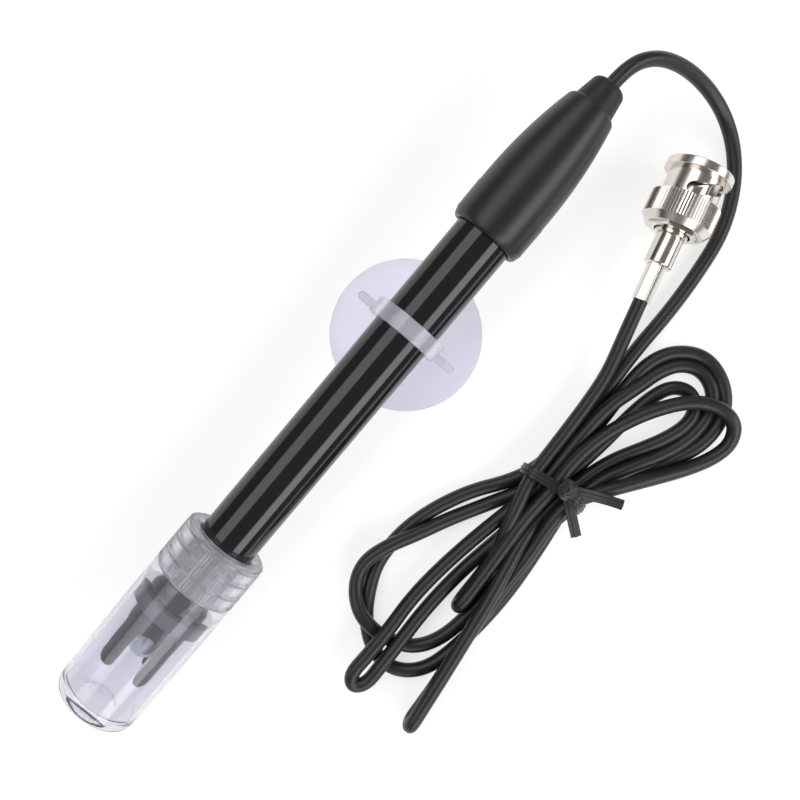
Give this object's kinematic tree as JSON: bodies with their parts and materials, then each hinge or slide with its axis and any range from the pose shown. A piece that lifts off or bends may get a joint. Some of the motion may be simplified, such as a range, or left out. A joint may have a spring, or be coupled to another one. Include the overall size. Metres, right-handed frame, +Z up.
{
  "type": "ph electrode",
  "caption": "Combination pH electrode: black shaft with its tip in a clear storage bottle, suction-cup clip, tapered handle, and a thin lead tied in a hank with a bayonet coax plug.",
  "frame": {"origin": "on the floor, below the centre of the electrode, its bottle, its clip and its cup", "axes": "+X along the electrode towards its lead, +Z up from the floor"},
  "size_m": [0.1758, 0.0839, 0.0249],
  "materials": {
    "shaft_black": "glossy black moulded plastic",
    "blown_glass": "clear blown glass",
    "potting": "cast dark resin",
    "ceramic": "white porous ceramic",
    "silver": "drawn silver wire",
    "handle_black": "satin black",
    "boot_rubber": "black rubber",
    "lead_sheath": "semi-matt black sheath",
    "clear_plastic": "clear plastic with a faint lavender tint",
    "seal_rubber": "grey rubber",
    "clear_cap": "clear ribbed plastic",
    "black_rubber": "black rubber",
    "clip_plastic": "translucent bluish plastic",
    "clear_vinyl": "clear soft vinyl",
    "nickel_ferrule": "nickel plate, left bare",
    "nickel_body": "nickel plate",
    "white_insulator": "white insulator",
    "gold_pin": "gold plate",
    "spring_steel": "spring steel",
    "gasket_rubber": "silicone rubber",
    "nickel_coupling": "nickel plate, finely knurled",
    "tie_plastic": "ribbed black plastic"
  },
  "bodies": {
    "electrode": {"shaft_tube": "shaft_black", "tip_guard": "shaft_black", "glass_membrane": "blown_glass", "tip_plug": "potting", "porous_junction": "ceramic", "inner_wire": "silver", "reference_wire": "silver", "stem_holder": "potting", "shaft_top_plug": "potting", "handle_collar": "handle_black", "handle_shell": "handle_black", "cable_boot": "boot_rubber", "lead_inner_end": "lead_sheath", "lead_to_hank": "lead_sheath", "lead_hank": "lead_sheath", "lead_to_plug": "lead_sheath", "twist_tie": "tie_plastic", "crimp_ferrule": "nickel_ferrule", "plug_lead_end": "lead_sheath", "plug_body": "nickel_body", "rear_nut": "nickel_body", "plug_insulator": "white_insulator", "centre_pin": "gold_pin", "spring_washer": "spring_steel", "plug_gasket": "gasket_rubber"},
    "cap": {"bottle_cap": "clear_cap", "cap_o_ring": "black_rubber"},
    "seal": {"bottle_seal": "seal_rubber"},
    "bottle": {"bottle_body": "clear_plastic"},
    "clip": {"clip_ring": "clip_plastic"},
    "cup": {"suction_cup": "clear_vinyl"},
    "coupling": {"coupling_shell": "nickel_coupling"}
  },
  "joints": [
    {"name": "cap_slide", "type": "slide", "parent": "electrode", "child": "cap", "axis": [-0.998, 0, -0.0638], "range_m": [0, 0.05]},
    {"name": "bottle_travel", "type": "slide", "parent": "cap", "child": "seal", "axis": [-0.998, 0, -0.0638], "range_m": [0, 0.0075]},
    {"name": "bottle_turn", "type": "hinge", "parent": "seal", "child": "bottle", "pos_m": [-0.06822, 0, 0.00932], "axis": [-0.998, 0, -0.0638], "range_deg": [0, 880]},
    {"name": "clip_slide", "type": "slide", "parent": "electrode", "child": "clip", "axis": [0.998, 0, 0.0638], "range_m": [-0.046, 0.018]},
    {"name": "cup_swivel", "type": "hinge", "parent": "clip", "child": "cup", "pos_m": [0.019, 0, 0.005], "axis": [0, 0, 1], "continuous": true},
    {"name": "coupling_turn", "type": "hinge", "parent": "electrode", "child": "coupling", "pos_m": [0.07358, -0.02669, 0.00725], "axis": [0.9641, 0.2656, 0], "continuous": true}
  ],
  "couplings": [
    {"joint": "bottle_travel", "follows": "bottle_turn", "m_per_rad": 0.00047746}
  ]
}
